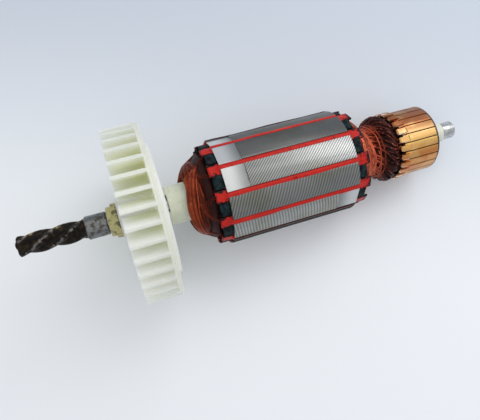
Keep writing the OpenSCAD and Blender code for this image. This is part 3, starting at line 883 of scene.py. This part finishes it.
class ARMATURE_OT_front_winding(bpy.types.Operator):
    """Winds the coils across the fan's end of the core"""
    bl_idname = "armature.front_winding"
    bl_label = "Front winding"

    def execute(self, context):
        wires = context.scene.armature_wires
        wire_r = wires.wire_d / 2 / MM
        ring_r = wires.coil_ring_d / 2 / MM
        coil_r = wires.coil_t / 2 / MM
        rng = random.Random(5)
        coils = Bundle(wire_r)
        bed = Bundle(coil_r - 1.5 * wire_r, sides=16)
        half = wires.coil_pitch * SLOT_PITCH / 2
        turns = (0, -2 * SLOT_PITCH, 2 * SLOT_PITCH)
        for side in (0, 180):
            middle = FIRST_SLOT_ANGLE + (wires.first_slot - 1) * SLOT_PITCH + half + side
            tubes = [(middle + turn, out / MM, ring_r, coil_r) for turn, out in zip(turns, wires.coils_out)]
            for tube in tubes:
                bed.add([self.on_ring(tube, half * k / 12, 0, 0) for k in range(-12, 13)], 0.0)
            self.wrap(coils, tubes, half, rng)
            for tube in tubes[1:]:
                self.wind(coils, tube, middle, half, rng)
        self.fan_out(coils, rng)
        coils.make("front_coils", wire_enamel(tuple(context.scene.armature_finish.enamel)), ["winding"])
        bed.add_turned([(LINER_FRONT + 1, 8.7), (LINER_FRONT + 0.9, 18.6), (LINER_FRONT - 1.0, 18.6),
                        (LINER_FRONT - 2.9, 16.9), (LINER_FRONT - 3.4, 15.2), (LINER_FRONT - 3.4, 8.7)])
        bed.make("front_winding_bed", wire_bed())
        return {"FINISHED"}

    def on_ring(self, tube, beta, lift, turn):
        """A point on a coil, which follows a ring that tips towards the fan."""
        middle, out, ring_r, coil_r = tube
        tip = math.asin((out - coil_r) / ring_r)
        outward, ahead, back = polar(0, 1, middle), polar(0, 1, middle + 90), Vector((1, 0, 0))
        crown = outward * math.cos(tip) - back * math.sin(tip)
        behind = outward * math.sin(tip) + back * math.cos(tip)
        b, a = math.radians(beta), math.radians(turn)
        out_of_ring = crown * math.cos(b) + ahead * math.sin(b)
        return (Vector((LINER_FRONT, 0, 0)) + out_of_ring * (ring_r + lift * math.cos(a))
                + behind * (lift * math.sin(a)))

    def crossing(self, tube, angle):
        """Place along the shaft and radius of a coil's middle line where it passes an angle."""
        middle, out, ring_r, coil_r = tube
        tip = math.asin((out - coil_r) / ring_r)
        gap = away(angle, middle)
        if abs(gap) > 80:
            return None
        beta = math.atan(math.cos(tip) * math.tan(math.radians(gap)))
        radius = ring_r * math.hypot(math.cos(tip) * math.cos(beta), math.sin(beta))
        return LINER_FRONT - ring_r * math.sin(tip) * math.cos(beta), radius

    def into_slots(self, path, middle, half, turn):
        """Leads a wire from both ends of its arc into the slots."""
        a = math.radians(turn)
        slot_r = 16.2 + 2.5 * math.cos(a)
        for sign in (-1, 1):
            slot = middle + sign * half
            slide = -sign * 5.0 * math.sin(a)
            mouth = polar(LINER_FRONT - 0.7, slot_r, slot + slide)
            inside = polar(LINER_FRONT + 2.2, slot_r, slot + slide * 0.8)
            path = [inside, mouth, *path] if sign == -1 else [*path, mouth, inside]
        return path

    def wrap(self, coils, tubes, half, rng):
        """Wires laid side by side round the outermost coil, over its neighbours where they meet."""
        middle, _, _, coil_r = tubes[0]
        lift = coil_r - coils.wire_r
        count = int(math.tau * (lift + 0.9) / (2.0 * coils.wire_r))
        gaps = range(-64, 65, 8)
        for i in range(count):
            a = math.tau * i / count + rng.uniform(-0.03, 0.03)
            reaches = []
            for gap in gaps:
                along, radius = self.crossing(tubes[0], middle + gap)
                reach = lift
                for other in filter(None, (self.crossing(tube, middle + gap) for tube in tubes[1:])):
                    step_along, step_out = other[0] - along, other[1] - radius
                    aside = step_along * math.sin(a) - step_out * math.cos(a)
                    if abs(aside) < lift:
                        ahead = step_along * math.cos(a) + step_out * math.sin(a)
                        reach = max(reach, ahead + math.sqrt(lift * lift - aside * aside))
                reaches.append(min(reach, lift + 2.6))
            for _ in range(2):
                padded = [reaches[0], *reaches, reaches[-1]]
                reaches = [(x + 2 * y + z) / 4 for x, y, z in zip(padded, padded[1:], padded[2:])]
            path = []
            sway = rng.uniform(-0.12, 0.06)
            for gap, reach in zip(gaps, reaches):
                along, radius = self.crossing(tubes[0], middle + gap)
                reach += sway + rng.uniform(-0.03, 0.03)
                path.append(polar(along + reach * math.cos(a), radius + reach * math.sin(a), middle + gap))
            path = self.into_slots(path, middle, half, math.degrees(a) - 90)
            # the dark tints paint shade into the creases between groups of wires, and the light ones get
            # glints
            coils.add(curve_through(path, 3), rng.choice((0.0, 0.25, 0.6, 0.8, 1.0)))

    def wind(self, coils, tube, crown, half, rng):
        """Wires of a coil that passes under the outermost one near its crown."""
        middle, _, _, coil_r = tube
        lift = coil_r - coils.wire_r
        count = int(math.tau * lift / (2.04 * coils.wire_r))
        for i in range(count):
            start = 360 * i / count + rng.uniform(-3, 3)
            sway = rng.uniform(-0.16, 0.0)
            path = []
            for beta in (-62, -46, -32, -18, -4, 10, 24, 37, 50, 62):
                point = self.on_ring(tube, beta, lift, start)
                from_crown = abs(away(math.degrees(math.atan2(point.z, point.y)), crown))
                sunk = between(from_crown, [(6, 0.0), (16, 0.32), (52, 0.32), (64, 0.0)])
                path.append(self.on_ring(tube, beta, (lift + sway) * (1 - sunk), start))
            path = self.into_slots(path, middle, half, start)
            # tints lower than the outer coil's: painted shade on the coils that pass under it
            coils.add(curve_through(path, 3), 0.6 * rng.random())

    def fan_out(self, coils, rng):
        """Wires of the buried coils, from each slot both ways under the outer coils."""
        for k in range(SLOTS):
            slot = FIRST_SLOT_ANGLE + k * SLOT_PITCH
            for way in (-1, 1):
                for i in range(7):
                    r = 17.8 - 0.75 * i + rng.uniform(-0.2, 0.1)
                    spread = rng.uniform(-3, 3)
                    drop = 0.5 * i + rng.uniform(0, 0.5)
                    path = [polar(LINER_FRONT + 2, r - 0.2, slot + spread),
                            polar(LINER_FRONT - 0.5 - 0.3 * drop, r, slot + spread + 2 * way),
                            polar(LINER_FRONT - 1.2 - 0.6 * drop, r - 0.1, slot + spread + 10 * way),
                            polar(LINER_FRONT - 1.9 - 0.7 * drop, r - 0.5, slot + 24 * way),
                            polar(LINER_FRONT - 2.6 - 0.5 * drop, r - 1.4, slot + 40 * way),
                            polar(LINER_FRONT - 2.6, r - 3.2, slot + 56 * way)]
                    # very dark tints: painted shade on the buried coils
                    coils.add(curve_through(path, 4), 0.15 * rng.random())


class ARMATURE_OT_rear_winding(bpy.types.Operator):
    """Winds the coils behind the core and lays the leads to the hooks"""
    bl_idname = "armature.rear_winding"
    bl_label = "Rear winding and leads"

    def execute(self, context):
        wires = context.scene.armature_wires
        wire_r = wires.wire_d / 2 / MM
        rng = random.Random(7)
        enamel = wire_enamel(tuple(context.scene.armature_finish.enamel))
        coils, leads = Bundle(wire_r), Bundle(wire_r)
        self.lay_coils(coils, wires.coil_pitch * SLOT_PITCH, rng)
        coils.make("rear_coils", enamel)
        self.lay_leads(leads, rng)
        self.tie(leads, rng)
        leads.make("commutator_leads", enamel)
        outline = [(along, radius - 1.3) for along, radius in REAR_OUTLINE]
        profile = [(REAR_OUTLINE[0][0] - 1, 7.2), *outline, (REAR_OUTLINE[-1][0], 7.2)]
        points, faces = turned(profile, BED_SIDES), skin(len(profile), BED_SIDES)
        add_piece("rear_winding_bed", points, faces, wire_bed(), ["winding"])
        return {"FINISHED"}

    def on_outline(self, bundle, along, sunk):
        """Radius at which a wire lies under the rear outline, sunk by so much."""
        return between(along, REAR_OUTLINE) - bundle.wire_r - sunk

    def lay_coils(self, coils, pitch, rng):
        """Wires that cross from slot to slot close behind the core."""
        for k in range(SLOTS):
            first = FIRST_SLOT_ANGLE + k * SLOT_PITCH
            for i in range(11):
                depth = 1.3 + 0.80 * i + rng.uniform(-0.25, 0.25)
                spread = rng.uniform(-4, 4)
                path = [polar(LINER_REAR - 2, SLOT_FLOOR_R, first + spread)]
                for j in range(13):
                    t = j / 12
                    along = LINER_REAR + 0.4 + depth * math.sin(math.pi * t) ** 0.7
                    radius = self.on_outline(coils, along, 0.03) + rng.uniform(-0.16, 0)
                    path.append(polar(along, radius, first + spread * (1 - t) + pitch * t))
                path.append(polar(LINER_REAR - 2, SLOT_FLOOR_R, first + pitch))
                coils.add(curve_through(path, 3), rng.random())

    def lay_leads(self, leads, rng):
        """Leads from the coils over the neck and the bulge into the hooks."""
        places = (39.5, 41.5, 43.8, 45.9, 47.4, 48.9, 50.6, 52.3, 53.8)
        for bar in range(BARS):
            hook = FIRST_BAR_ANGLE + bar * BAR_PITCH
            for strand in range(6):
                jitter = rng.uniform(-0.6 * BAR_PITCH, 0.6 * BAR_PITCH)
                sway = rng.uniform(-16, 16)
                sweep = rng.uniform(38, 84)
                path = []
                for n, along in enumerate(places):
                    t = n / (len(places) - 1)
                    radius = self.on_outline(leads, along, 0.03) - rng.uniform(0, 0.35)
                    turn = sway * math.sin(math.pi * t) - sweep * (1 - t) ** 1.35
                    angle = hook + turn + jitter * (1 - 0.5 * t)
                    path.append(polar(along + rng.uniform(-0.15, 0.15), radius, angle))
                if strand < 2:
                    aside = hook + (strand - 0.5) * 2.2
                    path += [polar(55.3, 14.1, aside), polar(57.6, 14.0, aside)]
                else:
                    aside = hook + jitter * 0.7
                    path += [polar(54.8, 13.9, aside), polar(56.2, 12.6, aside)]
                leads.add(curve_through(path, 3), rng.random())

    def tie(self, leads, rng):
        """Turns of wire laid round the neck, which hold the leads down."""
        for i in range(16):
            start = rng.uniform(0, 360)
            reach = rng.uniform(110, 230)
            path = []
            for j in range(17):
                t = j / 16
                arch = math.sin(math.pi * t)
                along = 41.4 + 0.34 * i + 0.9 * arch + rng.uniform(-0.08, 0.08)
                radius = self.on_outline(leads, along, -0.02) - 0.8 * (1 - arch) ** 4
                path.append(polar(along, radius, start + reach * t))
            # light tints: painted highlights on the neck
            leads.add(curve_through(path, 3), 0.45 + 0.55 * rng.random())


# ---- core, insulation, wedges

class ARMATURE_OT_core(bpy.types.Operator):
    """Finishes the lamination core, its end insulators and the slot insulation"""
    bl_idname = "armature.core"
    bl_label = "Core and slot insulation"

    def execute(self, context):
        colors = context.scene.armature_finish
        dress("lamination_core", core_steel(tuple(colors.steel)), 0.12)
        teal = teal_insulator()
        for name in ("front_insulator", "rear_insulator"):
            dress(name, teal, 0.35, 3)
        fibre = red_fibre(tuple(colors.fibre))
        for i in range(SLOTS):
            dress(f"slot_liner_{i + 1}", fibre)
            self.wedge(i, fibre)
        return {"FINISHED"}

    def wedge(self, i, fibre):
        """A strip of fibre in the slot's mouth, with rounded, slightly wavy ends."""
        rng = random.Random(40 + i)
        angle = FIRST_SLOT_ANGLE + i * SLOT_PITCH
        top, bottom = 21.74, 20.80
        half_w, rib_w, rib_r = 2.66, 1.14, CORE_R + 0.03
        flank = [(half_w - 0.22, bottom), (half_w, bottom + 0.25), (half_w, top - 0.30),
                 (half_w - 0.28, top - 0.05), (rib_w + 0.25, top), (rib_w, top + 0.2),
                 (rib_w - 0.02, rib_r - 0.35), (rib_w - 0.30, rib_r - 0.06)]
        section = [*flank, (0.0, rib_r), *((-across, radius) for across, radius in reversed(flank))]
        steps = 42
        middle = [CORE_FRONT + 1 + (CORE_REAR - CORE_FRONT - 2) * n / steps for n in range(steps + 1)]
        places = [WEDGE_FRONT + step for step in (0.02, 0.12, 0.45, 1.4)]
        places += [CORE_FRONT + step for step in (-1.2, -0.5, 0.2)] + middle
        places += [CORE_REAR + step for step in (-0.2, 0.5, 1.2)]
        places += [WEDGE_REAR - step for step in (1.4, 0.45, 0.12, 0.02)]
        points = []
        lift = [rng.uniform(-0.18, 0.12) for _ in range(9)]
        for along in places:
            past_core = abs(along) - CORE_REAR
            inside = min(1, max(0, 1 - past_core))
            share = (along - WEDGE_FRONT) / (WEDGE_REAR - WEDGE_FRONT) * 7.99
            wave = between(share, list(enumerate(lift)))
            edge = min(along - WEDGE_FRONT, WEDGE_REAR - along)
            shrink = 0.22 * max(0, 1 - edge / 0.5) ** 2
            bend = 0.0 if inside > 0 else 0.12 * lift[i % 9] * past_core
            for across, radius in section:
                r = radius
                if radius > top:
                    r = top + (radius - top + wave * 0.9) * inside
                r += shrink * (1 if radius < (top + bottom) / 2 else -1) + bend
                points.append(polar(along, r, angle) + polar(0, across * (1 - shrink / half_w), angle + 90))
        faces = skin(len(places), len(section))
        add_piece(f"wedge_{i + 1}", points, faces, fibre, [f"slot_wedge_{i + 1}"])


# ---- fan end

class ARMATURE_OT_fan(bpy.types.Operator):
    """Finishes the fan, the spacer in front of it and the insulation behind it"""
    bl_idname = "armature.fan"
    bl_label = "Fan and spacer"

    def execute(self, context):
        color = tuple(context.scene.armature_finish.nylon)
        dress("cooling_fan", fan_nylon(color), 0.28)
        dress("bearing_spacer", greasy_spacer(), 0.25, 3)
        white = white_insulation(color)
        for name in ("shaft_insulation", "end_sleeve"):
            dress(name, white, 0.25)
        self.washer(white)
        return {"FINISHED"}

    def washer(self, white):
        """A thin washer between the fan's hub and the insulation, open along a short arc."""
        collar_front = span("shaft_insulation")[0]
        front, rear, inner, outer, edge = collar_front - 0.65, collar_front + 0.05, 6.4, 8.45, 0.1
        section = [(front, inner), (front, outer - edge), (front + edge, outer), (rear - edge, outer),
                   (rear, outer - edge), (rear, inner)]
        steps = 60
        points = [polar(along, radius, 116 + 306 * n / steps) for n in range(steps + 1)
                  for along, radius in section]
        faces = skin(steps + 1, len(section), flip=True)
        add_piece("collar_washer", points, faces, white)


# ---- commutator

class ARMATURE_OT_commutator(bpy.types.Operator):
    """Builds the commutator bars with their hooks and finishes the moulding"""
    bl_idname = "armature.commutator"
    bl_label = "Commutator"

    def execute(self, context):
        copper = bar_copper(tuple(context.scene.armature_finish.copper))
        pale = hook_copper()
        for i in range(BARS):
            dress(f"commutator_bar_{i + 1}", copper, 0.12)
        dress("commutator_hub", hub_moulding(), 0.15)
        for i in range(BARS):
            self.hook(i, pale)
        return {"FINISHED"}

    def hook(self, i, pale):
        """A tang bent forward over the wires, rounded by the welding."""
        rng = random.Random(70 + i)
        angle = FIRST_BAR_ANGLE + i * BAR_PITCH + rng.uniform(-0.8, 0.8)
        rings, sides = 13, 12
        front, rear = 53.95, 58.7
        points = []
        for n in range(rings):
            t = n / (rings - 1)
            nose = math.sqrt(max(0.0, 1 - (1 - min(1, t / 0.22)) ** 2))
            tail = math.sqrt(max(0.0, 1 - max(0, (t - 0.72) / 0.28) ** 2))
            half_w = 1.12 * max(0.05, nose) * max(0.05, tail ** 0.6)
            top = HOOK_TOP_R - 0.02 - 0.35 * (1 - nose) - 0.45 * max(0, (t - 0.5) / 0.5) ** 2
            bottom = 14.45 + 0.4 * (1 - nose) + 0.2 * t
            middle, half_t = (top + bottom) / 2, (top - bottom) / 2
            for k in range(sides):
                a = math.tau * k / sides
                x = half_w * math.copysign(abs(math.cos(a)) ** 0.7, math.cos(a))
                r = middle + half_t * math.copysign(abs(math.sin(a)) ** 0.8, math.sin(a))
                points.append(polar(front + (rear - front) * t, r, angle) + polar(0, x, angle + 90))
        add_piece(f"hook_{i + 1}", points, skin(rings, sides), pale)


# ---- add-on

class ARMATURE_PT_panel(bpy.types.Panel):
    """Lists the steps that dress the armature"""
    bl_label = "Motor Armature"
    bl_idname = "ARMATURE_PT_panel"
    bl_space_type = "VIEW_3D"
    bl_region_type = "UI"
    bl_category = "Armature"

    def draw(self, context):
        for operator in OPERATORS:
            self.layout.operator(operator.bl_idname)


OPERATORS = (ARMATURE_OT_stage, ARMATURE_OT_shaft, ARMATURE_OT_fan, ARMATURE_OT_front_winding,
             ARMATURE_OT_core, ARMATURE_OT_rear_winding, ARMATURE_OT_commutator)
SETTINGS = {"armature_stage": StageSettings, "armature_finish": FinishSettings,
            "armature_wires": WireSettings}
CLASSES = (*SETTINGS.values(), *OPERATORS, ARMATURE_PT_panel)


def register():
    for cls in CLASSES:
        bpy.utils.register_class(cls)
    for name, settings in SETTINGS.items():
        setattr(bpy.types.Scene, name, bpy.props.PointerProperty(type=settings))


def unregister():
    for name in SETTINGS:
        delattr(bpy.types.Scene, name)
    for cls in reversed(CLASSES):
        bpy.utils.unregister_class(cls)


def main():
    register()
    bpy.ops.armature.stage()
    bpy.ops.armature.shaft()
    bpy.ops.armature.fan()
    bpy.ops.armature.front_winding()
    bpy.ops.armature.core()
    bpy.ops.armature.rear_winding()
    bpy.ops.armature.commutator()


if __name__ == "__main__":
    main()
